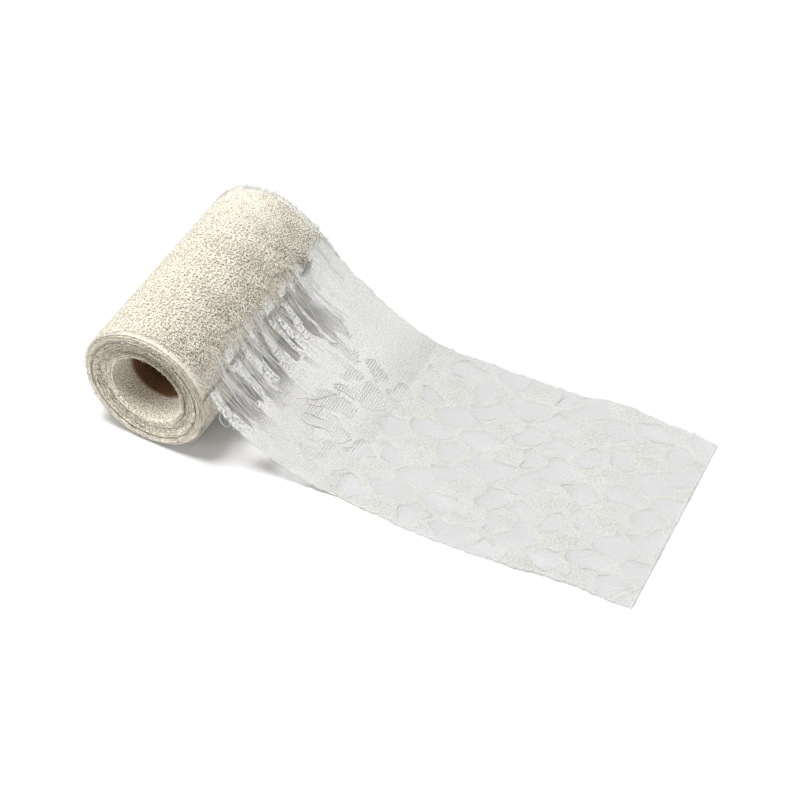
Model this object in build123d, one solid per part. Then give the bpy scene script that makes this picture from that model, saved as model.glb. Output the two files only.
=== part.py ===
# A roll of wide lace: the lace is wound on a paper tube, and its loose end comes over the top of
# the roll, hangs down one side to the table and lies flat there, ready to be cut or pulled out.
#
# Frame: +X is the direction in which the loose end runs out, +Y is along the tube, +Z is up.
# The table is z = 0, and the origin is the middle of the whole object's footprint.
# All sizes are in millimetres.
import math
import os
from build123d import *

# ---- driving dimensions ----
LACE_WIDTH = 150.0          # the lace, edge to edge
LACE_THICKNESS = 0.8        # one layer as it lies, with its raised threads
RUNNING_GAP = 0.3           # between the turning roll and the last lap round it

CORE_BORE_RADIUS = 19.0     # inside of the paper tube
PLY_THICKNESS = 0.5         # each of the tube's three plies
CORE_LENGTH = 114.0         # the tube is shorter than the lace is wide
CORE_SETBACK = 19.0         # from the front of the laps in to the tube's end

WOUND_RADIUS = 43.4         # outside of the laps that turn with the tube
INNER_LAPS_RADIUS = 29.5
MIDDLE_LAPS_RADIUS = 37.0

MOUTH_RADIUS = 26.0         # where the inner laps flare open at the roll's ends
TAPE_WIDTH = 24.0           # paper tape that holds the lace's first end on the tube
TAPE_ANGLE = 50.0
TAPE_THICKNESS = 0.12
TAPE_ROOM = 0.15            # between the tube and the first lap, where the tape lies

TOUCHDOWN_X = 128.0         # from the roll's axis to where the loose end meets the table
LIFT_OFF_RUN = 20.0         # the loose end keeps straight this far where it leaves the roll
SAG_POINT = (88.0, 17.5)    # how low it hangs on its way down: distance from the axis, and height
LANDING_RUN = 12.0          # it is already flat this far before the touchdown
TAIL_NEAR_END = (327.0, -51.0)   # corners of the cut end, from the point under the roll's middle
TAIL_FAR_END = (316.0, 98.0)
LIFT_ANGLE = 30.0           # the lace leaves the roll this far above its side
WRAP_TURN = 345.0           # how much of a full turn the last lap makes
WRAP_SHIFT = 6.0            # the last lap sits this much further along the tube than the roll

# ---- worked out from those ----
CORE_RADIUS = CORE_BORE_RADIUS + 3 * PLY_THICKNESS
LAPS_BORE_RADIUS = CORE_RADIUS + TAPE_ROOM
WRAP_INNER_RADIUS = WOUND_RADIUS + RUNNING_GAP
WRAP_RADIUS = WRAP_INNER_RADIUS + LACE_THICKNESS
AXIS_HEIGHT = WRAP_RADIUS
FRONT = -LACE_WIDTH / 2
BACK = LACE_WIDTH / 2
CORE_FRONT = FRONT + CORE_SETBACK
CORE_BACK = CORE_FRONT + CORE_LENGTH

# The footprint runs from the roll's far side to the tail's longest corner, and from the front
# of the laps to the tail's far corner. Its middle is the origin.
ORIGIN_X = (TAIL_NEAR_END[0] - WRAP_RADIUS) / 2
ORIGIN_Y = (TAIL_FAR_END[1] + FRONT) / 2


def place_on_axis(solid):
    """Lift a solid made round the Y axis up to the roll's axis."""
    return Pos(0, 0, AXIS_HEIGHT) * solid


def ring(points):
    """A solid of revolution round Y from an outline of (radius, y) points."""
    return place_on_axis(revolve(make_face(Polyline(*points, close=True)), Axis.Y))


def save(shape, name):
    """Move a shape into the object's own frame and write it."""
    shape = Pos(-ORIGIN_X, -ORIGIN_Y, 0) * shape
    shape.label = name
    export_step(shape, f"parts/{name}.step")
    low, high = shape.bounding_box().min, shape.bounding_box().max
    print(f"{name:18s} x {low.X:7.2f} {high.X:7.2f}  y {low.Y:7.2f} {high.Y:7.2f}"
          f"  z {low.Z:7.2f} {high.Z:7.2f}  volume {shape.volume:10.1f}")


# ---- the paper tube: three plies of paper rolled and glued one on another ----
def core_ply(inner_radius):
    outer_radius = inner_radius + PLY_THICKNESS
    return ring([(inner_radius, CORE_FRONT), (outer_radius, CORE_FRONT),
                 (outer_radius, CORE_BACK), (inner_radius, CORE_BACK)])


# ---- the tape: a thin curved patch between the tube and the first lap ----
def start_tape():
    low_y = -TAPE_WIDTH / 2
    high_y = TAPE_WIDTH / 2
    patch = make_face(Polyline((CORE_RADIUS, low_y), (CORE_RADIUS + TAPE_THICKNESS, low_y),
                               (CORE_RADIUS + TAPE_THICKNESS, high_y), (CORE_RADIUS, high_y),
                               close=True))
    return place_on_axis(revolve(patch, Axis.Y, TAPE_ANGLE))


# ---- the laps that turn with the tube, in three sleeves that sit a little in and out ----
def inner_laps():
    """The innermost laps reach past the tube at both ends, and flare open there."""
    lip_front = FRONT + 1.5
    lip_back = BACK + 1.5
    flare = 2.5
    throat_front = CORE_FRONT - 9.0     # the flare starts where the tube ends, and is half open here
    throat_back = CORE_BACK + 7.0
    return ring([
        (LAPS_BORE_RADIUS, CORE_FRONT), (LAPS_BORE_RADIUS + flare / 2, throat_front),
        (MOUTH_RADIUS - flare / 2, lip_front + 2.5), (MOUTH_RADIUS, lip_front + 0.7),
        (MOUTH_RADIUS + 1.0, lip_front), (INNER_LAPS_RADIUS - 1.2, lip_front),
        (INNER_LAPS_RADIUS, lip_front + 1.5), (INNER_LAPS_RADIUS, lip_back - 1.5),
        (INNER_LAPS_RADIUS - 1.2, lip_back), (MOUTH_RADIUS + 1.0, lip_back),
        (MOUTH_RADIUS - flare / 2, lip_back - 2.5), (LAPS_BORE_RADIUS + flare / 2, throat_back),
        (LAPS_BORE_RADIUS, CORE_BACK),
    ])


def middle_laps():
    """These laps drifted towards the back as they were wound."""
    sunk = 4.5
    return ring([
        (INNER_LAPS_RADIUS, FRONT + sunk + 0.8), (MIDDLE_LAPS_RADIUS - 2.0, FRONT + sunk),
        (MIDDLE_LAPS_RADIUS, FRONT + sunk - 1.5), (MIDDLE_LAPS_RADIUS, BACK + sunk - 1.5),
        (MIDDLE_LAPS_RADIUS - 2.0, BACK + sunk), (INNER_LAPS_RADIUS, BACK + sunk - 1.2),
    ])


def outer_laps():
    """The outermost turning laps stand furthest forward."""
    edge_round = 0.7
    return ring([
        (MIDDLE_LAPS_RADIUS, FRONT + 1.8), (MIDDLE_LAPS_RADIUS + 1.6, FRONT + edge_round / 2),
        (WOUND_RADIUS - 1.6, FRONT), (WOUND_RADIUS, FRONT + edge_round),
        (WOUND_RADIUS, BACK - edge_round), (WOUND_RADIUS - edge_round, BACK),
        (MIDDLE_LAPS_RADIUS + 0.8, BACK), (MIDDLE_LAPS_RADIUS, BACK - 1.0),
    ])


# ---- the last lap and the loose end, which stay put while the roll turns ----
def last_lap():
    """One lap of lace, from under the loose end right round to where that leaves the roll."""
    low_y = FRONT + WRAP_SHIFT
    high_y = BACK + WRAP_SHIFT
    section = make_face(Polyline((WRAP_INNER_RADIUS, low_y), (WRAP_RADIUS, low_y),
                                 (WRAP_RADIUS, high_y), (WRAP_INNER_RADIUS, high_y), close=True))
    lap = revolve(section, Axis.Y, WRAP_TURN)
    # The section starts on the +X side, below where the loose end leaves, and turns down,
    # under the roll, up its back and over the top.
    start_angle = LIFT_ANGLE - (360 - WRAP_TURN)
    return place_on_axis(Rot(0, -start_angle, 0) * lap)


def step_along(start, length, degrees):
    """The point at this length from start, at this angle above +X, in the X-Z plane."""
    angle = math.radians(degrees)
    return (start[0] + length * math.cos(angle), start[1] + length * math.sin(angle))


def hanging_line():
    """Middle line of the hanging stretch: off the roll at its tangent, then easing to the table."""
    middle_radius = WRAP_RADIUS - LACE_THICKNESS / 2
    start = step_along((0, AXIS_HEIGHT), middle_radius, LIFT_ANGLE)
    straight = step_along(start, LIFT_OFF_RUN, LIFT_ANGLE - 90)
    landing = (TOUCHDOWN_X - LANDING_RUN, LACE_THICKNESS / 2)
    flat = (TOUCHDOWN_X, LACE_THICKNESS / 2)
    return [start, straight, SAG_POINT, landing, flat]


def corner_radius(before, corner, after, share=0.45):
    """As large an arc as the two runs beside a corner allow."""
    run_in = math.dist(before, corner)
    run_out = math.dist(corner, after)
    heading_in = math.atan2(corner[1] - before[1], corner[0] - before[0])
    heading_out = math.atan2(after[1] - corner[1], after[0] - corner[0])
    turn = abs(heading_out - heading_in)
    return share * min(run_in, run_out) / math.tan(turn / 2)


def lace_outline():
    """Plan of the loose end: it drifts towards +Y, and is gathered where it leaves the roll."""
    near_edge = Spline((30.0, -67.0), (48.0, -63.0), (TOUCHDOWN_X, -59.0), (210.0, -60.0),
                       TAIL_NEAR_END)
    cut_end = Line(TAIL_NEAR_END, TAIL_FAR_END)
    far_edge = Spline(TAIL_FAR_END, (210.0, 93.5), (TOUCHDOWN_X, 89.0), (48.0, 80.0),
                      (30.0, 80.5))
    roll_side = Line((30.0, 80.5), (30.0, -67.0))
    return make_face(Wire([near_edge.edge(), cut_end.edge(), far_edge.edge(), roll_side.edge()]))


def outline_prism(height):
    return extrude(lace_outline(), height)


def hanging_lace():
    """The stretch between the roll and the table."""
    points = hanging_line()
    radii = [corner_radius(*points[i:i + 3]) for i in range(len(points) - 2)]
    line = FilletPolyline(*points, radius=radii)
    strip = Plane.XZ * trace(line, LACE_THICKNESS)
    slab = Pos(0, LACE_WIDTH, 0) * extrude(strip, 2 * LACE_WIDTH)
    return slab & outline_prism(2 * AXIS_HEIGHT)


def laid_lace():
    """The stretch that lies on the table, up to the cut end."""
    length = TAIL_NEAR_END[0] - TOUCHDOWN_X + 10.0      # past the cut end, which the outline trims
    middle = Pos(TOUCHDOWN_X + length / 2, 0, LACE_THICKNESS / 2)
    slab = middle * Box(length, 2 * LACE_WIDTH, LACE_THICKNESS)
    return slab & outline_prism(2 * AXIS_HEIGHT)


def main():
    os.makedirs("parts", exist_ok=True)
    ply_names = ["core_inner_ply", "core_middle_ply", "core_outer_ply"]
    for number, name in enumerate(ply_names):
        save(core_ply(CORE_BORE_RADIUS + number * PLY_THICKNESS), name)
    save(start_tape(), "start_tape")
    save(inner_laps(), "inner_laps")
    save(middle_laps(), "middle_laps")
    save(outer_laps(), "outer_laps")
    save(last_lap(), "last_lap")
    save(hanging_lace(), "hanging_lace")
    save(laid_lace(), "laid_lace")


main()
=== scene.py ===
"""The looks of a lace table runner roll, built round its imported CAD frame.

The loose lace is one sheet: laid on the table, hanging from the roll and round it for one lap.
Its pattern is raised clothwork, outlining cords and stray threads. The lace still on the tube is
one long spiral sheet. Lengths are in metres where nothing says mm. s runs along the loose lace
from its cut end, and w across from its near edge.
"""
import math

import bpy
import numpy as np
from mathutils import Matrix, Vector


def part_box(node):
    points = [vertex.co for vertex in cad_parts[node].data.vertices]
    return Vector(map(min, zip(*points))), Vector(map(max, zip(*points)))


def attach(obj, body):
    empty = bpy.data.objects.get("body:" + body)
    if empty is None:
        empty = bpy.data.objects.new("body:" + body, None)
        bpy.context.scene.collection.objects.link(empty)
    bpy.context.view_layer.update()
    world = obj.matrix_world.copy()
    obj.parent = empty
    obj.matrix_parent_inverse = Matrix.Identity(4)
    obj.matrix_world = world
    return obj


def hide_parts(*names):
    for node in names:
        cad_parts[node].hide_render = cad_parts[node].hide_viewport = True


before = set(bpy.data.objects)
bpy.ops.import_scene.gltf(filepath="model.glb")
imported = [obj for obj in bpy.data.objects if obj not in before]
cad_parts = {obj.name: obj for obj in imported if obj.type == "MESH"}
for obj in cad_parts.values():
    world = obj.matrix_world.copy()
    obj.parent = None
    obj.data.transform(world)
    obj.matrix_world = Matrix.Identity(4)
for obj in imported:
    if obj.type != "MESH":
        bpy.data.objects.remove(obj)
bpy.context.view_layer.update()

MM = 0.001

# ---- places and sizes from the frame ----
lap_low, lap_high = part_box("last_lap")
laid_low, laid_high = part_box("laid_lace")
outer_low, outer_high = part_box("outer_laps")
middle_low, middle_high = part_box("middle_laps")
inner_low, inner_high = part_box("inner_laps")
core_low, core_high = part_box("core_outer_ply")

AXIS_X = (outer_low.x + outer_high.x) / 2
AXIS_Z = (outer_low.z + outer_high.z) / 2
WOUND_RADIUS = (outer_high.z - outer_low.z) / 2
INNER_RADIUS = (inner_high.z - inner_low.z) / 2
CORE_RADIUS = (core_high.z - core_low.z) / 2
LAP_RADIUS = (lap_high.z - lap_low.z) / 2
LACE_WIDTH = lap_high.y - lap_low.y
CORE_SETBACK = core_low.y - outer_low.y

# ---- the loose lace ----
GROUND_INSET = 0.42 * MM  # the net lies this far inside the last lap's outside
LAID_HEIGHT = 0.25 * MM  # and this far above the table
FLOOR_CLEARANCE = 0.05 * MM  # nothing of the loose lace comes nearer to the table
LIFT_ANGLE = math.radians(30)  # where it leaves the roll, above the roll's side
WRAP_TURN = math.radians(345)  # how far the last lap goes round the roll
END_SKEW = 11 * MM  # the far corner of the cut end lies this much shorter
TOUCHDOWN_SKEW = 8 * MM  # the far edge reaches the table this much nearer the roll
# How the two long edges stray from the laid lace's box: (distance from the cut end, stray) in mm.
NEAR_EDGE = ((0, 9), (56, 6), (85, 2), (127, -1), (199, 1))
FAR_EDGE = ((0, 0), (80, 0.5), (100, -4), (140, -6), (199, -8))
# How hard the hanging lace pulls at its top and its foot, as (length, degrees), for each edge.
NEAR_PULL = ((0.150, -60.0), (0.081, -6.0))
FAR_PULL = ((0.085, -54.0), (0.070, -20.0))
SPAN_STRETCH = 17.0  # mm of pattern drawn out where the lace hangs
LAP_DRIFT = 5 * MM  # the last lap's near edge drifts along the roll by this much
LAP_DRIFT_RUN = 0.09  # over this much of its length
GROUND_STEP = 1.5 * MM  # the net sheet's rows
GROUND_COLUMNS = 64
NET_EDGE_SHARE = 0.6  # how much of the worked edge's stray the net follows
CLOTHWORK_STEP = 0.95 * MM

# ---- the lace still on the tube ----
TURNS = 24
STEPS_PER_TURN = 90
WOUND_START = CORE_RADIUS + 0.45 * MM
WOUND_END_ANGLE = LIFT_ANGLE + WRAP_TURN - 2 * math.pi
WOUND_CLEARANCE = 0.1 * MM  # between the wound lace and the last lap's CAD solid
LAP_RUN = 0.032  # middle radius of the laps, for distances along the lace
LAP_LEAN = 0.84  # how far each lap's edge leans to the next, of the pitch
LIT_RIM_LAPS = (18.4, 19.4)  # from here out, the laps' edges are painted pale: painted light on the lit rim
TAN_LAPS = ((7.6, 0.35), (18.4, 0.6))  # laps whose edges are painted tan, and how much
MOUTH_FLARE = 3.6 * MM  # how far the innermost laps stand open
MOUTH_FLARE_BIAS = 1.2 * MM  # and further on one side
MOUTH_BIAS_ANGLE = math.radians(35)

# ---- the pattern, one repeat of it ----
PATTERN_START = (194.0, 59.0)  # mm from the cut end and the near edge to where a repeat starts
REPEAT = (133.0, 57.0)  # mm along and across
PATTERN_TURN = math.radians(-12)
PATTERN_STRETCH = 0.68  # the windows are drawn out along the lace
# Middles of the windows (mm along and across), and half the width of the band round each.
WINDOWS = ((51, 53, 1.5), (72, 9, 1.4), (80, 44, 1.3), (90, 29, 2.2), (109, 22, 1.2),
           (128, 39, 1.3), (18, 20, 1.5), (35, 40, 1.6), (9, 47, 1.9), (60, 30, 2.0),
           (98, 4, 1.8), (40, 6, 2.0), (133, 14, 2.0), (104, 44, 2.0))
# Middles of the closely worked patches between them.
PATCHES = ((76, 26), (114, 55), (2, 31), (22, 4), (66, 43), (25, 54))
NO_WINDOW = 99.0  # a patch's mark, in place of a window's band
FAR_AWAY = 1e9


# ======== small tools ========
LACE_MAP = "lace"  # the UV map of each point's place on the lace
THREAD_SIDEWAYS = (0.31, 0.52, 0.79)  # hardly any thread runs this way
THREAD_END = 0.45  # a thread's width at its ends, as a share


def smoothstep(low, high, x):
    """0 up to low, 1 from high on, and smooth between them."""
    t = np.clip((x - low) / (high - low), 0, 1)
    return t * t * (3 - 2 * t)


def smooth_through(points, x):
    """The height at x of a smooth line through a few (x, height) points."""
    xs, ys = np.array(points, float).T
    slopes = np.gradient(ys, xs)
    i = np.clip(np.searchsorted(xs, x) - 1, 0, len(xs) - 2)
    run = xs[i + 1] - xs[i]
    t = np.clip((x - xs[i]) / run, 0, 1)
    return (ys[i] * (1 + 2 * t) * (1 - t) ** 2 + run * slopes[i] * t * (1 - t) ** 2
            + ys[i + 1] * t * t * (3 - 2 * t) - run * slopes[i + 1] * t * t * (1 - t))


def noise(u, v, seed, size=97):
    """Smooth noise from -1 to 1 over a plane, about one feature to each unit, for each seed."""
    grid = np.random.default_rng(seed).uniform(-1, 1, (size, size))
    u, v = same_shape(u, v)
    iu, iv = np.floor(u).astype(int), np.floor(v).astype(int)
    fu, fv = smoothstep(0, 1, u - iu), smoothstep(0, 1, v - iv)
    a, b = grid[iu % size, iv % size], grid[(iu + 1) % size, iv % size]
    c, d = grid[iu % size, (iv + 1) % size], grid[(iu + 1) % size, (iv + 1) % size]
    return (a * (1 - fu) + b * fu) * (1 - fv) + (c * (1 - fu) + d * fu) * fv


def placed(name, data):
    """A new object in the scene."""
    made = bpy.data.objects.new(name, data)
    bpy.context.scene.collection.objects.link(made)
    return made


def field(s, w, along, across, seed):
    """Noise with features about that many mm along and across the lace."""
    return noise(s / (along * MM), w / (across * MM), seed)


def same_shape(s, w):
    return np.broadcast_arrays(np.asarray(s, float), np.asarray(w, float))


def mesh_piece(name, points, faces, material, uv, values=None):
    """An object from its points and faces, with UVs in metres of lace and named point values."""
    mesh = bpy.data.meshes.new(name)
    mesh.from_pydata(np.asarray(points).reshape(-1, 3).tolist(), [], faces)
    mesh.polygons.foreach_set("use_smooth", [True] * len(mesh.polygons))
    corner = np.zeros(len(mesh.loops), np.int32)
    mesh.loops.foreach_get("vertex_index", corner)
    layer = mesh.uv_layers.new(name=LACE_MAP)
    uv = np.asarray(uv, np.float32).reshape(-1, 2)
    layer.data.foreach_set("uv", uv[corner].ravel())
    for key, value in (values or {}).items():
        attribute = mesh.attributes.new(key, "FLOAT", "POINT")
        attribute.data.foreach_set("value", np.asarray(value, np.float32).ravel())
    mesh.materials.append(material)
    mesh.update()
    return placed(name, mesh)


def grid_faces(rows, columns):
    """Quads over a grid of points stored row by row, facing along column cross row."""
    i, j = np.meshgrid(np.arange(rows - 1), np.arange(columns - 1), indexing="ij")
    a = (i * columns + j).ravel()
    return np.stack([a, a + 1, a + columns + 1, a + columns], 1).tolist()


def threads(name, paths, radius, material, uv, sides=3):
    """One mesh of round threads. paths is (threads, points, 3); each thread thins at its ends."""
    count, length, _ = paths.shape
    along = np.gradient(paths, axis=1)
    along /= np.linalg.norm(along, axis=2, keepdims=True) + 1e-12
    side = np.cross(along, np.array(THREAD_SIDEWAYS))
    side /= np.linalg.norm(side, axis=2, keepdims=True) + 1e-12
    up = np.cross(along, side)
    swell = np.sin(np.linspace(0.12, math.pi - 0.12, length)) ** 0.5
    taper = THREAD_END + (1 - THREAD_END) * swell
    width = np.broadcast_to(np.asarray(radius, float).reshape(-1, 1), (count, length)) * taper
    points = np.empty((count, length, sides, 3))
    for k in range(sides):
        turn = 2 * math.pi * k / sides
        around = math.cos(turn) * side + math.sin(turn) * up
        points[:, :, k] = paths + width[..., None] * around
    t, p, k = np.meshgrid(np.arange(count), np.arange(length - 1), np.arange(sides),
                          indexing="ij")
    here = (t * length + p) * sides
    after = (k + 1) % sides
    walls = np.stack([here + k, here + after, here + sides + after, here + sides + k], -1)
    first = (np.arange(count) * length * sides)[:, None]
    last = first + (length - 1) * sides
    turn = np.arange(sides)
    ends = (first + turn[::-1]).tolist() + (last + turn).tolist()
    values = np.repeat(np.asarray(uv, float).reshape(count, 1, 2), length * sides, axis=1)
    return mesh_piece(name, points, walls.reshape(-1, 4).tolist() + ends, material, values)


# ======== the pattern ========
def from_foot(s, low, high):
    """0 to 1 from low to high mm beyond where the lace leaves the table."""
    return smoothstep(LAID_LENGTH + low * MM, LAID_LENGTH + high * MM, s)


def from_lift(s, low, high):
    """0 to 1 from low to high mm beyond where the lace meets the roll."""
    return smoothstep(LIFT_AT + low * MM, LIFT_AT + high * MM, s)


def pattern_space(u, v):
    """Straight pattern places (mm) into the turned and stretched space where windows are round."""
    c, s = math.cos(PATTERN_TURN), math.sin(PATTERN_TURN)
    return np.stack([(u * c - v * s) * PATTERN_STRETCH, u * s + v * c], -1)


def tongues(s, w):
    """Where the lace is pulled from the roll its clothwork draws into tongues: about 1 along
    each and -1 between them."""
    sway = 9.0 * field(s, w, 60, 24, 14)
    lean = 5.0 * MM * field(s, w, 30, 30, 16)
    return (0.4 * np.cos(2 * math.pi * (w / MM + sway) / 16.5)
            + 1.25 * field(s, w + lean, 26, 5.0, 15) + 0.7 * field(s, w + lean, 13, 2.9, 17))


def rolled(s, w):
    """0 on the loose end, rising to 1 on the roll. The lace lets go of the roll fold by fold, so
    the border runs in points along the tongues."""
    return from_lift(s - 5 * MM * np.clip(1.5 * tongues(s, w), -1, 1), -8, 0)


def pattern(s, w):
    """The lace's pattern at s along and w across (metres): how far inside a band each point is, in
    mm, negative in a window; and how closely the band is worked there, from 0 to 1."""
    pulled = smoothstep(LAID_LENGTH + 18 * MM, LIFT_AT + 4 * MM, s)
    u = PATTERN_START[0] - s / MM + SPAN_STRETCH * pulled
    v = w / MM - PATTERN_START[1]
    turn_u, turn_v = 2 * math.pi * u / REPEAT[0], 2 * math.pi * v / REPEAT[1]
    u = u + 1.5 * np.sin(3 * turn_v + 2 * turn_u) + 0.9 * np.sin(7 * turn_u - 4 * turn_v)
    v = v + 1.3 * np.sin(4 * turn_u + turn_v) + 0.7 * np.sin(9 * turn_u + 3 * turn_v)
    u, v = u % REPEAT[0], v % REPEAT[1]
    here = pattern_space(u, v)
    places, bands = [], []
    for cu, cv, band in (*WINDOWS, *((pu, pv, NO_WINDOW) for pu, pv in PATCHES)):
        for du in (-1, 0, 1):
            for dv in (-1, 0, 1):
                places.append((cu + du * REPEAT[0], cv + dv * REPEAT[1]))
                bands.append(band)
    places, bands = np.array(places, float), np.array(bands)
    centres = pattern_space(places[:, 0], places[:, 1])

    # The cell that each point is in, and its distance to the next cell's border.
    nearest = np.full(u.shape, FAR_AWAY)
    owner = np.zeros(u.shape, int)
    for k, centre in enumerate(centres):
        far = ((here - centre) ** 2).sum(-1)
        closer = far < nearest
        nearest, owner = np.where(closer, far, nearest), np.where(closer, k, owner)
    border = np.full(u.shape, FAR_AWAY)
    mine = centres[owner]
    for k, centre in enumerate(centres):
        apart = np.linalg.norm(mine - centre, axis=-1)
        gap = (((here - centre) ** 2).sum(-1) - nearest) / (2 * np.maximum(apart, 1e-6))
        border = np.minimum(border, np.where(owner == k, FAR_AWAY, gap))
    is_patch = bands[owner] == NO_WINDOW
    inside = np.where(is_patch, 2.5 + border, bands[owner] - border)

    # Where the lace hangs, the bands give way to tongues, thinner and less ragged near the roll.
    hanging = from_foot(s, 14, 62) * (1 - from_lift(s, -2, 12))
    thin = 0.15 + from_lift(s, -60, -16)
    ragged = 0.5 * field(s, w, 3.2, 1.7, 18)
    ragged = ragged + 2.6 * field(s, w, 12, 7, 19) * (1 - from_lift(s, -55, -25))
    drawn = np.clip(3.2 * tongues(s, w) - thin + ragged, -3.5, 3.5)
    inside = inside + (drawn - inside) * 0.92 * hanging

    # Towards the far edge it is nearly all worked.
    lifting = from_foot(s, -22, 4)
    far_side = smoothstep(LACE_WIDTH - 38 * MM, LACE_WIDTH - 14 * MM, w)
    inside = inside + 5.0 * far_side * (hanging + 0.6 * (1 - hanging) * lifting)
    foot = lifting * (1 - from_foot(s, 40, 65))
    inside = inside + 4.5 * foot * smoothstep(LACE_WIDTH - 56 * MM, LACE_WIDTH - 28 * MM, w)

    # Small wanderings of every border, and no windows on the roll.
    inside = inside + 0.5 * field(s, w, 4, 4, 11)
    inside = inside + 9 * from_lift(s, 5, 16)
    patch = smoothstep(1.0, 5.0, np.where(is_patch, border, 0.0))
    cloud = 0.5 + 0.5 * field(s, w, 9, 6, 12)
    worked = np.clip(0.75 * patch + 0.55 * smoothstep(0.45, 0.75, cloud), 0, 1)
    return inside, worked


def edge_near(s):
    """How far in from the straight near edge the worked edge lies."""
    return (1.2 + 1.0 * noise(s / (11 * MM), 0.0, 21) + 0.6 * noise(s / (3 * MM), 0.0, 22)) * MM


def edge_far(s):
    return (1.2 + 1.0 * noise(s / (13 * MM), 5.0, 23) + 0.6 * noise(s / (3 * MM), 5.0, 24)) * MM


# ======== the loose lace's surface ========
GROUND_RADIUS = LAP_RADIUS - GROUND_INSET
LAID_LENGTH = laid_high.x - laid_low.x
LIFT_POINT = (AXIS_X + GROUND_RADIUS * math.cos(LIFT_ANGLE),
              AXIS_Z + GROUND_RADIUS * math.sin(LIFT_ANGLE))


def hanging_curve(t, share):
    """x and z of the hanging lace, for t from 0 at the table to 1 at the roll, at a share of the
    width."""
    def pull(near, far):
        length = near[0] + (far[0] - near[0]) * share
        angle = np.radians(near[1] + (far[1] - near[1]) * share)
        return length * np.cos(angle), length * np.sin(angle)
    top_x, top_z = pull(NEAR_PULL[0], FAR_PULL[0])
    foot_x, foot_z = pull(NEAR_PULL[1], FAR_PULL[1])
    down = 1 - t
    a, b = 2 * down ** 3 - 3 * down ** 2 + 1, down ** 3 - 2 * down ** 2 + down
    c, d = 3 * down ** 2 - 2 * down ** 3, down ** 3 - down ** 2
    touch_x = laid_low.x - TOUCHDOWN_SKEW * share
    x = LIFT_POINT[0] * a + top_x * b + touch_x * c + foot_x * d
    z = LIFT_POINT[1] * a + top_z * b + LAID_HEIGHT * c + foot_z * d
    return x, np.maximum(z, LAID_HEIGHT)


def hanging_runs(count=400):
    """Distances along the middle of the hanging lace from the table up, and t at each."""
    t = np.linspace(0, 1, count)
    x, z = hanging_curve(t, 0.5)
    return np.concatenate([[0], np.cumsum(np.hypot(np.diff(x), np.diff(z)))]), t


HANG_RUNS, HANG_TS = hanging_runs()
HANG_LENGTH = float(HANG_RUNS[-1])
WRAP_LENGTH = WRAP_TURN * GROUND_RADIUS
LOOSE_LENGTH = LAID_LENGTH + HANG_LENGTH + WRAP_LENGTH
LIFT_AT = LAID_LENGTH + HANG_LENGTH  # s where the lace meets the roll


def lace_folds(s, w):
    """How far folds and ripples stand off the loose lace's smooth shape, in metres."""
    near_roll = smoothstep(LAID_LENGTH - 12 * MM, LIFT_AT - 18 * MM, s)
    on_roll = from_lift(s, 2, 26)
    bend = 5 * MM * noise(s / (60 * MM), 3.0, 31)
    gathers = (2.2 * field(s, w + bend, 75, 11, 32) + 1.1 * field(s, w - bend, 45, 5, 33)) * MM
    hanging = gathers * near_roll * (1 - on_roll)
    # Close to the roll the gathers only stand outwards, clear of the laps.
    hanging = np.where(s > LIFT_AT - 6 * MM, np.abs(hanging), hanging)
    ripples = 0.34 * MM * (1.75 + field(s, w, 34, 10, 34) + 0.6 * field(s, w, 11, 7, 35))
    lumps = 0.16 * MM * (field(s, w, 22, 30, 36) + field(s, w, 7, 12, 37))
    laid = np.maximum(ripples, 0) * (1 - near_roll)
    return laid + hanging + lumps * on_roll


def loose_base(s, w):
    """The loose lace's smooth shape, as points (..., 3)."""
    s, w = same_shape(s, w)
    share = w / LACE_WIDTH
    laid_s = np.minimum(s, LAID_LENGTH)
    end_x = laid_high.x - END_SKEW * share
    touch_x = laid_low.x - TOUCHDOWN_SKEW * share
    laid_x = end_x + (touch_x - end_x) * laid_s / LAID_LENGTH
    near_y = laid_low.y + smooth_through(NEAR_EDGE, laid_s / MM) * MM
    far_y = laid_high.y + smooth_through(FAR_EDGE, laid_s / MM) * MM
    t = np.interp(s - LAID_LENGTH, HANG_RUNS, HANG_TS)
    hang_x, hang_z = hanging_curve(t, share)
    settle = smoothstep(0.0, 1.0, t)
    angle = LIFT_ANGLE + np.maximum(s - LIFT_AT, 0) / GROUND_RADIUS
    drift = LAP_DRIFT * smoothstep(0.0, LAP_DRIFT_RUN, s - LIFT_AT)
    near_y = near_y + (lap_low.y - near_y) * settle - drift
    far_y = far_y + (lap_high.y - far_y) * settle
    roll_x = AXIS_X + GROUND_RADIUS * np.cos(angle)
    roll_z = AXIS_Z + GROUND_RADIUS * np.sin(angle)
    x = np.where(s < LAID_LENGTH, laid_x, np.where(s < LIFT_AT, hang_x, roll_x))
    z = np.where(s < LAID_LENGTH, LAID_HEIGHT, np.where(s < LIFT_AT, hang_z, roll_z))
    return np.stack([x, near_y + (far_y - near_y) * share, z], -1)


def loose_point(s, w, off=0.0):
    """A point of the loose lace, off metres proud of its net."""
    s, w = same_shape(s, w)
    step = 0.6 * MM  # apart, to find which way the surface faces
    low_s, high_s = np.maximum(s - step, 0), np.minimum(s + step, LOOSE_LENGTH)
    along = loose_base(high_s, w) - loose_base(low_s, w)
    across = loose_base(s, w + step) - loose_base(s, w - step)
    normal = np.cross(across, along)
    normal /= np.linalg.norm(normal, axis=-1, keepdims=True)
    place = loose_base(s, w) + normal * (lace_folds(s, w) + off)[..., None]
    place[..., 2] = np.maximum(place[..., 2], FLOOR_CLEARANCE + np.maximum(off, 0))
    return place


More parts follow.
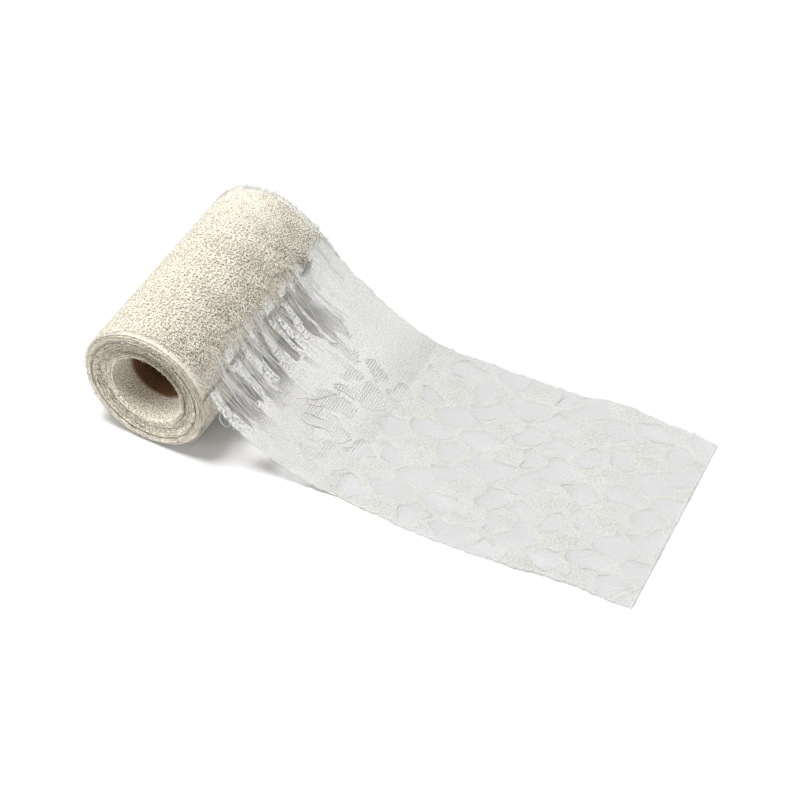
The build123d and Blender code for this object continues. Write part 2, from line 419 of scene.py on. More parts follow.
# ======== materials ========
class Shade:
    """A short hand for building one material out of nodes."""

    def __init__(self, name):
        self.material = bpy.data.materials.new(name)
        self.material.use_nodes = True
        self.tree = self.material.node_tree
        self.tree.nodes.clear()
        self.output = self.tree.nodes.new("ShaderNodeOutputMaterial")

    def node(self, kind, inputs=None, **settings):
        """A new node. Its inputs are values, or sockets that feed them."""
        made = self.tree.nodes.new(kind)
        for key, value in settings.items():
            setattr(made, key, value)
        for key, value in (inputs or {}).items():
            self.feed(made.inputs[key], value)
        return made

    def feed(self, socket, value):
        if isinstance(value, bpy.types.NodeSocket):
            self.tree.links.new(value, socket)
        else:
            socket.default_value = value

    def math(self, operation, *values):
        made = self.node("ShaderNodeMath", dict(enumerate(values)), operation=operation)
        return made.outputs[0]

    def ramp(self, value, low, high, out_low=0.0, out_high=1.0):
        """value from low..high to out_low..out_high, smoothly and clamped."""
        numbers = dict(enumerate((value, low, high, out_low, out_high)))
        made = self.node("ShaderNodeMapRange", numbers, interpolation_type="SMOOTHSTEP")
        return made.outputs[0]

    def mix(self, share, first, second):
        """A colour, first where share is 0 and second where it is 1."""
        made = self.node("ShaderNodeMix", {0: share, 6: first, 7: second}, data_type="RGBA")
        return made.outputs[2]

    def place(self):
        """u and v, which are the lace's s and w in mm, from its UV map."""
        uv = self.node("ShaderNodeUVMap", uv_map=LACE_MAP)
        parts = self.node("ShaderNodeSeparateXYZ", {0: uv.outputs[0]})
        return tuple(self.math("MULTIPLY", parts.outputs[k], 1 / MM) for k in (0, 1))

    def position(self):
        return self.node("ShaderNodeNewGeometry").outputs["Position"]

    def vector(self, u, v, along=1.0):
        """A texture's place; along below 1 draws the texture out along the lace."""
        if along != 1.0:
            u = self.math("MULTIPLY", u, along)
        return self.node("ShaderNodeCombineXYZ", {0: u, 1: v}).outputs[0]

    def noise(self, where, scale, detail=3.0):
        made = self.node("ShaderNodeTexNoise", {"Vector": where, "Scale": scale, "Detail": detail})
        return made.outputs[0]

    def cells(self, where, randomness, feature):
        """Distance from the edges of cells about one unit wide, or with F1 from their middles."""
        made = self.node("ShaderNodeTexVoronoi",
                         {"Vector": where, "Scale": 1.0, "Randomness": randomness},
                         voronoi_dimensions="2D", feature=feature)
        return made.outputs["Distance"]

    def bump(self, height, strength, distance):
        made = self.node("ShaderNodeBump",
                         {"Strength": strength, "Distance": distance, "Height": height})
        return made.outputs[0]

    def layer(self, share, first, second):
        """A shader, first where share is 0 and second where it is 1."""
        return self.node("ShaderNodeMixShader",
                         {0: share, 1: first.outputs[0], 2: second.outputs[0]})

    def done(self, surface):
        self.feed(self.output.inputs[0], surface.outputs[0])
        return self.material

    def cloth(self, colour, rough, normal, alpha, glow):
        """Thread that scatters light and lets glow of it through, with alpha between threads."""
        solid = self.node("ShaderNodeBsdfPrincipled",
                          {"Base Color": colour, "Roughness": rough, "Normal": normal,
                           "Sheen Weight": 0.25, "Sheen Roughness": 0.4, "IOR": 1.45})
        through = self.node("ShaderNodeBsdfTranslucent", {"Color": colour, "Normal": normal})
        shown = self.layer(glow, solid, through)
        if alpha is not None:
            shown = self.layer(alpha, self.node("ShaderNodeBsdfTransparent"), shown)
        return self.done(shown)

    def paper(self, colour, rough, normal):
        return self.done(self.node("ShaderNodeBsdfPrincipled",
                                   {"Base Color": colour, "Roughness": rough, "Normal": normal}))


# Colours of the threads and of the shade between them. CLOSE is close work.
# The pulled colours are painted paler, painted light on the hanging lace, which lies in
# less light. The roll's shade colours are painted shade in the gaps of the last lap, paler
# further round the roll, on its lit side.
TAIL_THREAD = (0.70, 0.70, 0.678, 1)
TAIL_SHADE = (0.585, 0.585, 0.562, 1)
CLOSE_THREAD = (0.692, 0.69, 0.656, 1)
CLOSE_SHADE = (0.54, 0.537, 0.50, 1)
PAINTED_LIT_THREAD = (0.985, 0.985, 0.97, 1)
PAINTED_LIT_SHADE = (0.84, 0.84, 0.82, 1)
NET_THREAD = (0.74, 0.742, 0.739, 1)
NET_SHADE = (0.645, 0.647, 0.645, 1)
ROLL_THREAD = (0.98, 0.935, 0.812, 1)
ROLL_SHADE = (0.12, 0.098, 0.07, 1)
LIT_SIDE_SHADE = (0.70, 0.64, 0.53, 1)
WOUND_THREAD = ((0.95, 0.89, 0.77, 1), (0.98, 0.94, 0.85, 1))
WOUND_SHADE = ((0.42, 0.34, 0.23, 1), (0.53, 0.44, 0.33, 1))
EDGE_TAN = (0.62, 0.48, 0.32, 1)


def ramp_from(shade, start, u, low, high, out_low=0.0, out_high=1.0):
    """A ramp over u, from low to high mm beyond the distance start along the lace."""
    return shade.ramp(u, start / MM + low, start / MM + high, out_low, out_high)


def pulled_share(shade, u, v):
    """0 on the table, rising to 1 where the lace is pulled from the roll, less at its far edge."""
    down = ramp_from(shade, LIFT_AT, u, -66, -24)
    return shade.math("MULTIPLY", down, shade.ramp(v, 98.0, 134.0, 1.0, 0.3))


def painted_light_share(shade, u, v):
    """How much painted light whitens the hanging lace: some all down the span, most at the roll.
    """
    hung = ramp_from(shade, LAID_LENGTH, u, -8, 38, 0.0, 0.75)
    hung = shade.math("MULTIPLY", hung, shade.ramp(v, 5.0, 70.0, 0.45, 1.0))
    hung = shade.math("MULTIPLY", hung, shade.ramp(v, 100.0, 145.0, 1.0, 0.8))
    rest = shade.math("SUBTRACT", 1.0, hung)
    return shade.math("ADD", hung, shade.math("MULTIPLY", pulled_share(shade, u, v), rest))


def roll_specks(shade, u, v):
    """Painted shade: small dark gaps between the threads of many layers lying one on another."""
    fine = shade.noise(shade.vector(u, v, 0.75), 1.48, 2.0)
    patchy = shade.noise(shade.vector(u, v, 0.6), 0.07, 3.0)
    return shade.ramp(shade.math("ADD", fine, shade.math("MULTIPLY", patchy, 0.2)), 0.545, 0.577)


def lace_colour(shade, u, v, grain, thread, thread_shade):
    """Near white on the loose end; ivory with painted-shade specks where it lies on the roll's
    laps.
    """
    loose_colour = shade.mix(grain, thread_shade, thread)
    # Painted shade, paler further round the roll, on its lit side.
    lit_side = ramp_from(shade, LIFT_AT, u, 10, 60)
    speck_colour = shade.mix(lit_side, ROLL_SHADE, LIT_SIDE_SHADE)
    rolled_colour = shade.mix(roll_specks(shade, u, v), speck_colour, ROLL_THREAD)
    there = shade.node("ShaderNodeAttribute", attribute_name="rolled").outputs["Fac"]
    return shade.mix(there, loose_colour, rolled_colour)


NET_PITCH = 1.3  # mm across one mesh
NET_ALONG = 0.7  # a mesh's width over its length
NET_LINE = 0.19  # half a thread's width on the table, as a share of a mesh
PULLED_LINE = 0.02  # and where the lace is pulled
DRAWN_PITCH = 1.9  # mm between the lines that the pulled net closes up into
DRAWN_ALPHA = 0.25
HOLE_PITCH = (2.7, 1.6)  # mm along and across, between the clothwork's small holes


def net_material():
    """The fine ground net: drawn-out meshes, which close up into single lines with sheer gaps
    between them where the lace hangs pulled."""
    shade = Shade("lace_net")
    u, v = shade.place()
    where = shade.vector(u, shade.math("DIVIDE", v, NET_PITCH), NET_ALONG / NET_PITCH)
    edge = shade.cells(where, 0.42, "DISTANCE_TO_EDGE")
    pulled = pulled_share(shade, u, v)
    half = shade.ramp(pulled, 0.0, 1.0, NET_LINE, PULLED_LINE)
    mesh = shade.ramp(shade.math("DIVIDE", edge, half), 1.0, 1.5, 1.0, 0.0)
    sway = shade.noise(shade.vector(u, v, 0.25), 0.3, 2.0)
    across = shade.math("ADD", shade.math("DIVIDE", v, DRAWN_PITCH), sway)
    drawn = shade.ramp(shade.math("PINGPONG", across, 0.5), 0.035, 0.075, 1.0, 0.0)
    lines = shade.math("MULTIPLY", drawn, pulled)
    alpha = shade.math("MAXIMUM", mesh, shade.math("MULTIPLY", lines, DRAWN_ALPHA))
    grain = shade.ramp(shade.noise(shade.vector(u, v), 0.9), 0.42, 0.56)
    # Painted light: where the lace hangs, its colours are painted paler to make up for the shade
    # there.
    pale = painted_light_share(shade, u, v)
    light = shade.mix(pale, NET_THREAD, PAINTED_LIT_THREAD)
    dark = shade.mix(pale, NET_SHADE, PAINTED_LIT_SHADE)
    colour = lace_colour(shade, u, v, grain, light, dark)
    rough = shade.ramp(edge, 0.0, NET_LINE, 0.62, 0.85)
    normal = shade.bump(edge, 0.3, 0.0001)
    return shade.cloth(colour, rough, normal, alpha, glow=0.18)


def clothwork_material():
    """The pattern's worked bands: close threads with small holes, pulled open near the roll."""
    shade = Shade("lace_clothwork")
    u, v = shade.place()
    worked = shade.node("ShaderNodeAttribute", attribute_name="worked").outputs["Fac"]
    pulled = pulled_share(shade, u, v)
    where = shade.vector(shade.math("DIVIDE", u, HOLE_PITCH[0]),
                         shade.math("DIVIDE", v, HOLE_PITCH[1]))
    from_middle = shade.cells(where, 0.72, "F1")
    wear = shade.noise(shade.vector(u, v), 0.35, 2.0)
    size = shade.math("MULTIPLY", shade.ramp(wear, 0.32, 0.56, 0.16, 0.33),
                      shade.ramp(pulled, 0.0, 1.0, 0.4, 1.0))
    alpha = shade.ramp(shade.math("SUBTRACT", from_middle, size), -0.03, 0.03)
    strands = shade.noise(shade.vector(u, v, 0.7), 0.95, 2.0)
    # Painted light: where the lace hangs, its colours are painted paler to make up for the shade
    # there.
    pale = painted_light_share(shade, u, v)
    light = shade.mix(pale, shade.mix(worked, TAIL_THREAD, CLOSE_THREAD), PAINTED_LIT_THREAD)
    dark = shade.mix(pale, shade.mix(worked, TAIL_SHADE, CLOSE_SHADE), PAINTED_LIT_SHADE)
    colour = lace_colour(shade, u, v, shade.ramp(strands, 0.40, 0.52), light, dark)
    rough = shade.ramp(strands, 0.3, 0.7, 0.85, 0.65)
    normal = shade.bump(strands, 0.5, 0.00025)
    return shade.cloth(colour, rough, normal, alpha, glow=0.16)


def thread_material(name, light, dark, glow=0.25):
    """Loose threads and cords: plied yarn."""
    shade = Shade(name)
    u, v = shade.place()
    grain = shade.noise(shade.vector(u, v), 1.7, 2.0)
    colour = shade.mix(shade.ramp(grain, 0.40, 0.52), dark, light)
    rough = shade.ramp(grain, 0.3, 0.7, 0.8, 0.65)
    twist = shade.noise(shade.position(), 4200.0, 1.0)
    return shade.cloth(colour, rough, shade.bump(twist, 0.5, 0.0001), None, glow)


def wound_material():
    """The laps packed on the tube: layer over layer of net and clothwork, so it reads as grain;
    the dark colour of its specks is painted shade in the gaps.
    """
    shade = Shade("wound_laps_lace")
    u, v = shade.place()
    stretched = shade.vector(u, v, 0.75)
    fine = shade.noise(stretched, 0.95, 2.0)
    specks = shade.ramp(fine, 0.42, 0.50)
    coarse = shade.ramp(shade.noise(stretched, 0.12, 3.0), 0.35, 0.7)
    light = shade.mix(coarse, *WOUND_THREAD)
    dark = shade.mix(coarse, *WOUND_SHADE)
    lap = shade.math("DIVIDE", u, 2 * math.pi * LAP_RUN / MM)
    from_edge = shade.math("MINIMUM", v, shade.math("SUBTRACT", LACE_WIDTH / MM, v))
    # Painted light: the outer laps' edges are painted pale, free of the dark specks, on the roll's
    # lit rim.
    lit_rim = shade.math("MULTIPLY", shade.ramp(from_edge, 0.8, 5.0, 0.92, 0.0),
                        shade.ramp(lap, *LIT_RIM_LAPS))
    colour = shade.mix(shade.math("MAXIMUM", specks, lit_rim), dark, light)
    for tan_lap, share in TAN_LAPS:
        away = shade.math("ABSOLUTE", shade.math("SUBTRACT", lap, tan_lap))
        colour = shade.mix(shade.ramp(away, 0.2, 0.8, share, 0.0), colour, EDGE_TAN)
    rough = shade.ramp(fine, 0.3, 0.7, 0.9, 0.75)
    return shade.cloth(colour, rough, shade.bump(fine, 0.9, 0.0005), None, 0.12)


BOARD_LEAD = 0.062  # along the tube, for one turn of its spiral winding


def board_material(name, light, dark):
    """Rolled paper board: its fibres, blotches and the seams of its spiral winding."""
    shade = Shade(name)
    position = shade.position()
    parts = shade.node("ShaderNodeSeparateXYZ", {0: position})
    x = shade.math("SUBTRACT", parts.outputs[0], AXIS_X)
    z = shade.math("SUBTRACT", parts.outputs[2], AXIS_Z)
    turn = shade.math("DIVIDE", shade.math("ARCTAN2", z, x), 2 * math.pi)
    leads = shade.math("DIVIDE", parts.outputs[1], BOARD_LEAD)
    seam = shade.math("PINGPONG", shade.math("ADD", leads, turn), 0.5)
    line = shade.ramp(seam, 0.004, 0.012)
    fibres = shade.noise(position, 900.0, 5.0)
    blotch = shade.noise(position, 90.0, 2.0)
    colour = shade.mix(shade.ramp(fibres, 0.3, 0.7), dark, light)
    colour = shade.mix(shade.ramp(blotch, 0.3, 0.8, 0.0, 0.25), colour, dark)
    colour = shade.mix(line, dark, colour)
    return shade.paper(colour, shade.ramp(fibres, 0.3, 0.7, 0.92, 0.75),
                       shade.bump(shade.math("ADD", fibres, line), 0.35, 0.0002))


def tape_material():
    """Paper tape: creped paper, a little shiny."""
    shade = Shade("paper_tape")
    creases = shade.noise(shade.position(), 1400.0, 4.0)
    colour = shade.mix(shade.ramp(creases, 0.3, 0.7), (0.70, 0.64, 0.50, 1), (0.82, 0.78, 0.66, 1))
    return shade.paper(colour, shade.ramp(creases, 0.3, 0.7, 0.6, 0.45),
                       shade.bump(creases, 0.4, 0.0001))


# ======== the loose lace's pieces ========
def loose_ground():
    """The net of the whole loose end, as one sheet."""
    s = np.linspace(0, LOOSE_LENGTH, int(LOOSE_LENGTH / GROUND_STEP) + 1)[:, None]
    share = np.linspace(0, 1, GROUND_COLUMNS)[None, :]
    near = edge_near(s) * NET_EDGE_SHARE
    w = near + (LACE_WIDTH - near - edge_far(s) * NET_EDGE_SHARE) * share
    s = np.broadcast_to(s, w.shape)
    points = loose_point(s, w)
    return mesh_piece("loose_lace", points, grid_faces(*w.shape), net_material(),
                      np.stack([s, w], -1), {"rolled": rolled(s, w)})


def marching_faces(s, w, inside):
    """The places (s, w) and faces of the part of a grid where inside is positive, cut along its
    zero line."""
    rows, columns = inside.shape
    full = inside > 0
    places = {}
    at, faces = [], []

    def corner(i, j):
        key = (i, j)
        if key not in places:
            places[key] = len(at)
            at.append((s[i], w[j]))
        return places[key]

    def crossing(a, b):
        """The point between corners a and b where inside is zero."""
        key = (a, b) if a < b else (b, a)
        if key not in places:
            (i, j), (k, m) = key
            t = inside[i, j] / (inside[i, j] - inside[k, m])
            t = min(max(t, 0.04), 0.96)
            places[key] = len(at)
            at.append((s[i] + (s[k] - s[i]) * t, w[j] + (w[m] - w[j]) * t))
        return places[key]

    for i in range(rows - 1):
        for j in range(columns - 1):
            ring = ((i, j), (i, j + 1), (i + 1, j + 1), (i + 1, j))
            state = [full[c] for c in ring]
            if not any(state):
                continue
            face = []
            for k in range(4):
                a, b = ring[k], ring[(k + 1) % 4]
                if state[k]:
                    face.append(corner(*a))
                if state[k] != state[(k + 1) % 4]:
                    face.append(crossing(a, b))
            faces.append(face)
    return np.array(at), faces


def within_edges(s, w, inside):
    """The band field (mm), cut off at the worked edges. The last lap has bare net at both."""
    on_lap = from_lift(s, -4, 12)
    near = (w - edge_near(s)) / MM - 0.8 * on_lap
    far = (LACE_WIDTH - edge_far(s) - w) / MM - 4.2 * on_lap
    return np.minimum(np.minimum(inside, near), far)


def loose_clothwork():
    """The worked bands, standing a little proud of the net, thickest along their middles."""
    s = np.arange(0.5 * MM, LOOSE_LENGTH - 0.5 * MM, CLOTHWORK_STEP)
    w = np.arange(0, LACE_WIDTH + CLOTHWORK_STEP, CLOTHWORK_STEP)
    grid_s, grid_w = np.meshgrid(s, w, indexing="ij")
    inside = within_edges(grid_s, grid_w, pattern(grid_s, grid_w)[0])
    at, faces = marching_faces(s, w, inside)
    s, w = at.T
    inside, worked = pattern(s, w)
    inside = within_edges(s, w, inside)
    # Ribs of heavier thread run along the zero lines of a slow noise.
    rib = 1 - smoothstep(0.0, 0.11, np.abs(noise(s / (26 * MM) + w / (19 * MM),
                                                 s / (70 * MM) - w / (70 * MM), 13)))
    raised = smoothstep(0, 1.4, inside)
    proud = (0.03 + 0.11 * raised + 0.10 * worked * smoothstep(0.5, 3, inside)
             + 0.16 * rib * raised) * MM
    return mesh_piece("loose_clothwork", loose_point(s, w, proud), faces, clothwork_material(),
                      at, {"worked": worked, "rolled": rolled(s, w)})


def window_outlines():
    """Stretches of outline round every window, as (threads, points, 2) places on the lace, found
    along rays from its middle."""
    rng = np.random.default_rng(41)
    rays = 72
    turns = np.linspace(0, 2 * math.pi, rays, endpoint=False)
    reach = np.linspace(0.5, 24, 60) * MM
    found = []
    for cu, cv, _ in WINDOWS:
        for ku in range(-4, 3):
            for kv in range(-2, 3):
                s0 = (PATTERN_START[0] - cu - ku * REPEAT[0]) * MM
                w0 = (cv + PATTERN_START[1] + kv * REPEAT[1]) * MM
                if not (0 < s0 < LOOSE_LENGTH and 0 < w0 < LACE_WIDTH):
                    continue
                s = s0 + np.cos(turns)[:, None] * reach[None]
                w = w0 + np.sin(turns)[:, None] * reach[None]
                outside = pattern(s, w)[0] > 0.25
                if outside[:, 0].all():
                    continue
                first = outside.argmax(1)
                r = np.where(outside.any(1), reach[first], reach[-1])
                start, spans = rng.uniform(0, rays), rng.integers(2, 4)
                for part in range(spans):
                    length = rng.uniform(7, 17)
                    index = start + rays * part / spans + np.linspace(0, length, 14)
                    radius = np.interp(index % rays, np.arange(rays + 1), np.append(r, r[0]))
                    angle = 2 * math.pi * index / rays
                    found.append(np.stack([s0 + radius * np.cos(angle),
                                           w0 + radius * np.sin(angle)], -1))
    found = np.array(found)
    ends = np.array([LOOSE_LENGTH, LACE_WIDTH])
    return found[((found > MM) & (found < ends - MM)).all((1, 2))]


def outline_cords():
    paths = window_outlines()
    points = loose_point(paths[..., 0], paths[..., 1], 0.22 * MM)
    return threads("loose_outline_cords", points, 0.15 * MM,
                   thread_material("outline_cord", (0.84, 0.83, 0.78, 1), (0.58, 0.56, 0.50, 1)),
                   paths[:, 7], sides=5)


def edge_threads():
    """Short stray threads along both long edges and the cut end."""
    rng = np.random.default_rng(42)
    points = []

    def stray(s, w, out_s, out_w, low, high, curls=0.5):
        """Threads from s, w out towards out_s, out_w, low to high mm long."""
        count = len(s)
        length = rng.uniform(low, high, count) * MM
        lean = rng.normal(0, 0.8, count)
        curl = rng.normal(0, curls, count)
        t = np.linspace(-0.35, 1, 5)
        run = np.stack([out_s + lean * out_w, out_w + lean * out_s])
        run_s, run_w = (run / np.hypot(*run))[..., None]
        along = length[:, None] * t
        bend = length[:, None] * curl[:, None] * np.maximum(t, 0) ** 2
        ps = s[:, None] + run_s * along - run_w * bend
        pw = w[:, None] + run_w * along + run_s * bend
        lift = np.maximum(rng.normal(0.1, 0.35, count)[:, None] * np.maximum(t, 0), -0.1) * MM
        ps = np.clip(ps, -4 * MM, LOOSE_LENGTH)
        points.append((ps, pw, lift + 0.12 * MM, s, w))

    long_count = int(LOOSE_LENGTH / (0.62 * MM))
    s = rng.uniform(0, LOOSE_LENGTH, long_count)
    stray(s, edge_near(s), 0.0, -1.0, 0.6, 2.3)
    s = rng.uniform(0, LOOSE_LENGTH, long_count)
    stray(s, LACE_WIDTH - edge_far(s), 0.0, 1.0, 0.6, 2.6)
    fringe = 220  # more for the last lap
    s = rng.uniform(LIFT_AT - 25 * MM, LIFT_AT + 100 * MM, fringe)
    w = LACE_WIDTH - edge_far(s) - rng.uniform(0, 3, fringe) * MM
    stray(s, w, 0.0, 1.0, 1.5, 4.2, 1.2)
    s = rng.uniform(LIFT_AT + 60 * MM, LOOSE_LENGTH - 5 * MM, fringe)
    stray(s, edge_near(s), 0.0, -1.0, 1.0, 3.0)
    s = rng.uniform(LIFT_AT - 15 * MM, LIFT_AT + 110 * MM, fringe)
    stray(s, LACE_WIDTH - rng.uniform(1.5, 6.5, fringe) * MM, 0.4, 0.6, 2.0, 5.0, 1.4)
    end_count = int(LACE_WIDTH / (0.7 * MM))
    w = rng.uniform(0.001, LACE_WIDTH - 0.001, end_count)
    stray(np.full(end_count, 0.4 * MM), w, -1.0, 0.0, 0.5, 1.8)
    ps, pw, lift, s0, w0 = (np.concatenate(part) for part in zip(*points))
    beyond = np.maximum(-ps, 0)
    place = loose_point(np.maximum(ps, 0), pw, lift)
    place[..., 0] += beyond
    return threads("loose_edge_threads", place, rng.uniform(0.05, 0.09, len(place)) * MM,
                   thread_material("edge_thread", (0.93, 0.93, 0.90, 1), (0.72, 0.71, 0.67, 1)),
                   np.stack([s0, w0], -1))


def thread_loop():
    """One long pulled thread that stands in a loop off the near edge, just below the roll."""
    t = np.linspace(0, 1, 32)
    turn = math.radians(70) + math.radians(325) * t
    s = LIFT_AT - 26 * MM + 3.6 * MM * np.cos(turn) + 1.5 * MM * t
    w = -2.4 * MM + 3.4 * MM * np.sin(turn)
    place = loose_point(s, w, 0.5 * MM + 1.4 * np.sin(math.pi * t) * MM)
    # Its grey colours are painted shade; the thread itself is white.
    return threads("loose_thread_loop", place[None], 0.28 * MM,
                   thread_material("loop_thread_painted_shade", (0.66, 0.66, 0.64, 1), (0.26, 0.26, 0.25, 1)),
                   np.array([[0.0, 0.0]]), sides=6)


def drawn_threads():
    """Long threads drawn out of the pulled clothwork, in forks that open downwards."""
    rng = np.random.default_rng(44)
    forks = 110
    top = LIFT_AT + rng.uniform(-16, 9, forks) * MM
    length = rng.uniform(12, 44, forks) * MM
    middle = rng.uniform(3, 140, forks) * MM
    opening = rng.uniform(0.3, 4.5, forks) * MM
    t = np.linspace(0, 1, 14)
    places = []
    for side in (-1, 1):
        s = top[:, None] - length[:, None] * t
        sway = 1.6 * MM * field(s, middle[:, None], 13, 9, 45)
        w = middle[:, None] + sway + side * opening[:, None] * t ** 1.6
        places.append(np.stack([s, w], -1))
    places = np.concatenate(places)
    points = loose_point(places[..., 0], places[..., 1], 0.3 * MM)
    return threads("loose_drawn_threads", points, rng.uniform(0.10, 0.22, len(points)) * MM,
                   thread_material("drawn_thread", (0.98, 0.98, 0.965, 1), (0.80, 0.80, 0.78, 1)),
                   places[:, 7], sides=4)


def roll_fuzz():
    """Fine looped threads all over the last lap, where the lace's surface has been roughed up."""
    rng = np.random.default_rng(43)
    count = 20000
    s = rng.uniform(LIFT_AT + 2 * MM, LOOSE_LENGTH - 3 * MM, count)
    w = rng.uniform(1.5 * MM, LACE_WIDTH - 1.5 * MM, count)
    heading = rng.normal(0.35, 0.7, count)
    curl = rng.normal(0, 0.9, count)
    length = rng.uniform(0.6, 1.7, count) * MM
    t = np.linspace(-0.5, 0.5, 3)[None, :]
    turn = heading[:, None] + curl[:, None] * t
    ps = np.clip(s[:, None] + length[:, None] * t * np.cos(turn), 0, LOOSE_LENGTH)
    pw = w[:, None] + length[:, None] * t * np.sin(turn)
    height = rng.uniform(0.32, 0.62, count)[:, None] * MM - 0.55 * MM * t ** 2
    points = loose_point(ps, pw, height)
    return threads("last_lap_fuzz", points, rng.uniform(0.08, 0.14, count) * MM,
                   thread_material("lap_fuzz", (0.97, 0.93, 0.85, 1), (0.50, 0.44, 0.35, 1)),
                   np.stack([s, w], -1))


# ======== the lace on the tube ========
def face_line(outer, middle, inner, sign):
    """Where the laps' edges stand at one end of the roll, as (radius, y) points. outer, middle
    and inner are where the CAD laps end, and sign is the way in from there."""
    step = sign * MM
    return ((WOUND_START, inner), (0.0250, inner - 0.2 * step), (0.0272, inner + 1.2 * step),
            (0.0300, middle - 0.2 * step), (0.0335, middle - 1.0 * step),
            (0.0362, middle - 2.4 * step), (0.0376, middle - 1.6 * step),
            (0.0388, outer + 0.5 * step), (0.0415, outer + 0.2 * step),
            (WOUND_RADIUS, outer + 2.0 * step))


def wound_shape(turn, side, depth):
    """Points of the wound lace, and how far along it they are. turn counts laps from the core,
    side is -1 for the near edge and 1 for the far edge, and depth is how far in from it."""
    turn, depth = np.broadcast_arrays(turn, depth)
    radius = WOUND_START + (WOUND_RADIUS - WOUND_CLEARANCE - WOUND_START) * turn / TURNS
    angle = WOUND_END_ANGLE + 2 * math.pi * (TURNS - turn)
    run = turn * 2 * math.pi * LAP_RUN
    if side < 0:
        seed, line = 50, face_line(outer_low.y, middle_low.y, inner_low.y, 1)
    else:
        seed, line = 60, face_line(outer_high.y, middle_high.y, inner_high.y, -1)
    edge = smooth_through(line, radius)
    stray = (0.5 * field(run, 0, 38, 1, seed) + 0.22 * field(run, 0, 5, 1, seed + 1)) * MM
    y = edge - side * (depth + stray * np.exp(-depth / (9 * MM)))
    near_mouth = 1 - smoothstep(0, CORE_SETBACK, depth)
    inner_share = np.clip(1 - (radius - WOUND_START) / (INNER_RADIUS - WOUND_START), 0, 1)
    flare = MOUTH_FLARE + MOUTH_FLARE_BIAS * np.cos(angle - MOUTH_BIAS_ANGLE)
    radius = radius + flare * near_mouth * inner_share
    frill = (0.20 * field(run, 0, 6, 1, seed + 2) + 0.16 * field(run, 0, 2.2, 1, seed + 3)) * MM
    pitch = (WOUND_RADIUS - WOUND_START) / TURNS
    lean = LAP_LEAN * pitch * np.clip(TURNS - turn, 0, 1)
    radius = radius + (lean + np.minimum(frill, 0.12 * MM)) * (1 - smoothstep(0, 0.42 * MM, depth))
    return np.stack([AXIS_X + radius * np.cos(angle), y, AXIS_Z + radius * np.sin(angle)], -1), run


# Where the wound lace has points, in from each edge.
EDGE_DEPTHS = np.array([0, 0.15, 0.3, 0.5, 0.8, 1.6, 2.8, 4.4, 8.0, 12.5, 19, 30, 48]) * MM


def wound_lace():
    """All the laps as one spiral sheet."""
    turn = np.arange(TURNS * STEPS_PER_TURN + 1)[:, None] / STEPS_PER_TURN
    near, run = wound_shape(turn, -1, EDGE_DEPTHS[None])
    far, _ = wound_shape(turn, 1, EDGE_DEPTHS[None, ::-1])
    points = np.concatenate([near, far], 1)
    width = np.concatenate([EDGE_DEPTHS, LACE_WIDTH - EDGE_DEPTHS[::-1]])
    u = np.broadcast_to(run[:, :1], (len(turn), len(width)))
    uv = np.stack([u, np.broadcast_to(width, u.shape)], -1)
    return mesh_piece("wound_lace", points, grid_faces(*u.shape), wound_material(), uv)


def face_threads(name, side, count, seed):
    """Stray threads and small loops that stand out of the laps' edges at one end of the roll."""
    rng = np.random.default_rng(seed)
    turn = np.sqrt(rng.uniform(0, TURNS ** 2, count))
    start, _ = wound_shape(turn, side, np.full(count, 0.7 * MM))
    angle = np.arctan2(start[:, 2] - AXIS_Z, start[:, 0] - AXIS_X)
    radial = np.stack([np.cos(angle), 0 * angle, np.sin(angle)], -1)
    ring = np.stack([-np.sin(angle), 0 * angle, np.cos(angle)], -1)
    out = np.array((0.0, side, 0.0))
    rise = rng.uniform(0.3, 1.0, count)[:, None] * MM
    sweep = rng.normal(0, 0.9, count)[:, None] * MM
    spread = rng.normal(0, 0.35, count)[:, None] * MM
    fall = rng.uniform(0.1, 1.0, count)[:, None]
    t = np.linspace(0, 1, 4)[None, :, None]
    arch = np.sin(t * math.pi * 0.5 * (1 + fall[:, None]))
    paths = (start[:, None] + out * rise[:, None] * 1.3 * arch
             + ring[:, None] * sweep[:, None] * t * 1.6 + radial[:, None] * spread[:, None] * t)
    reach = np.hypot(paths[..., 0] - AXIS_X, paths[..., 2] - AXIS_Z)
    paths[..., 2] = np.maximum(paths[..., 2], 0.1 * MM)
    # None reaches into the last lap, which doesn't turn with the roll.
    limit = np.minimum(1.0, (WOUND_RADIUS - WOUND_CLEARANCE) / reach)
    paths[..., 0] = AXIS_X + (paths[..., 0] - AXIS_X) * limit
    paths[..., 2] = AXIS_Z + (paths[..., 2] - AXIS_Z) * limit
    return threads(name, paths, rng.uniform(0.08, 0.17, count) * MM,
                   thread_material(name, (0.98, 0.94, 0.84, 1), (0.58, 0.50, 0.38, 1), 0.2),
                   rng.uniform(0, 0.3, (count, 2)))


# ======== put the object together ========
loose = loose_ground()
clothwork = loose_clothwork()
cords = outline_cords()
strays = edge_threads()
loop = thread_loop()
drawn = drawn_threads()
fuzz = roll_fuzz()
for piece in (loose, clothwork, cords, strays, loop, drawn, fuzz):
    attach(piece, "loose_end")
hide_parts("laid_lace", "hanging_lace", "last_lap")

wound = wound_lace()
front_fuzz = face_threads("front_face_threads", -1, 9000, 71)
back_fuzz = face_threads("back_face_threads", 1, 8000, 72)
for piece in (wound, front_fuzz, back_fuzz):
    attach(piece, "roll")
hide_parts("inner_laps", "middle_laps", "outer_laps")

board = board_material("tube_board", (0.30, 0.18, 0.10, 1), (0.17, 0.095, 0.05, 1))
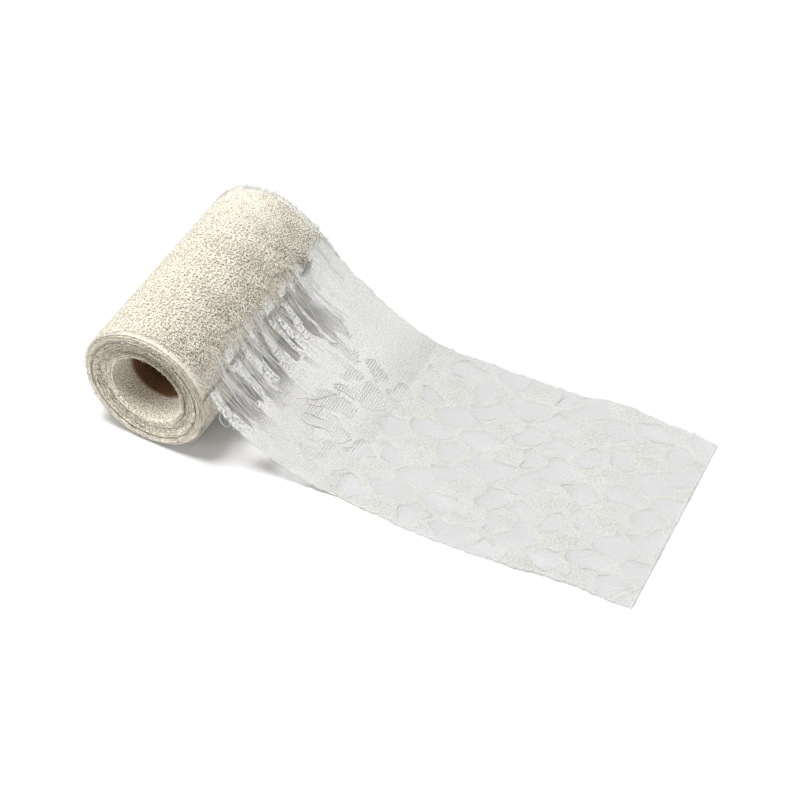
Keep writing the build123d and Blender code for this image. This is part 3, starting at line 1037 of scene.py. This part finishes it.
# The inside ply is painted darker than the rest: painted shade inside the tube.
shaded_inner_board = board_material("tube_board_inside_painted_shade", (0.23, 0.118, 0.054, 1), (0.11, 0.056, 0.025, 1))
for node, material in (("core_inner_ply", shaded_inner_board), ("core_middle_ply", board),
                       ("core_outer_ply", board), ("start_tape", tape_material())):
    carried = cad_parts[node]
    carried.data.materials.clear()
    carried.data.materials.append(material)


# ======== the studio ========
CAMERA_AZIMUTH, CAMERA_ELEVATION, CAMERA_ROLL = (math.radians(a) for a in (28.26, 46.24, 0.80))
CAMERA_AIM = Vector((-0.0194, 0.0226, 0.0))
CAMERA_DISTANCE = 1.932
CAMERA_LENS = 136.1
FLOOR_SIZE = 40.0
SKY_STRENGTH = 0.29
# Each light's name, the way towards it, its strength and its width in degrees.
LIGHTS = (("key", (-0.17, -0.08, 0.98), 3.14, 22), ("fill", (-0.60, -0.78, 0.17), 1.95, 40))


def make_camera():
    azimuth, elevation, roll = CAMERA_AZIMUTH, CAMERA_ELEVATION, CAMERA_ROLL
    back = Vector((math.sin(azimuth) * math.cos(elevation),
                   -math.cos(azimuth) * math.cos(elevation), math.sin(elevation)))
    right = Vector((math.cos(azimuth), math.sin(azimuth), 0))
    up = back.cross(right)
    turned_right = right * math.cos(roll) + up * math.sin(roll)
    turned_up = up * math.cos(roll) - right * math.sin(roll)
    camera = placed("camera", bpy.data.cameras.new("camera"))
    turn = Matrix((turned_right, turned_up, back)).transposed().to_4x4()
    camera.matrix_world = Matrix.Translation(CAMERA_AIM + back * CAMERA_DISTANCE) @ turn
    camera.data.lens = CAMERA_LENS
    camera.data.sensor_width = 36.0
    camera.data.clip_end = 200.0
    bpy.context.scene.camera = camera


def make_floor():
    half = FLOOR_SIZE / 2
    mesh = bpy.data.meshes.new("floor")
    mesh.from_pydata([(-half, -half, 0), (half, -half, 0), (half, half, 0), (-half, half, 0)], [],
                     [(0, 1, 2, 3)])
    floor = placed("floor", mesh)
    shade = Shade("floor_paper")
    pale = shade.node("ShaderNodeBsdfDiffuse", {"Color": (0.86, 0.86, 0.86, 1)})
    mesh.materials.append(shade.done(pale))


def make_lights():
    world = bpy.data.worlds.new("studio")
    bpy.context.scene.world = world
    world.use_nodes = True
    sky = world.node_tree.nodes["Background"]
    sky.inputs[0].default_value = (1.0, 1.0, 1.0, 1)
    sky.inputs[1].default_value = SKY_STRENGTH
    for name, toward, strength, spread in LIGHTS:
        light = bpy.data.lights.new(name, "SUN")
        light.energy = strength
        light.angle = math.radians(spread)
        lamp = placed(name, light)
        lamp.rotation_mode = "QUATERNION"
        lamp.rotation_quaternion = Vector(toward).to_track_quat("Z", "Y")


make_camera()
make_floor()
make_lights()
bpy.context.scene.view_settings.view_transform = "Standard"
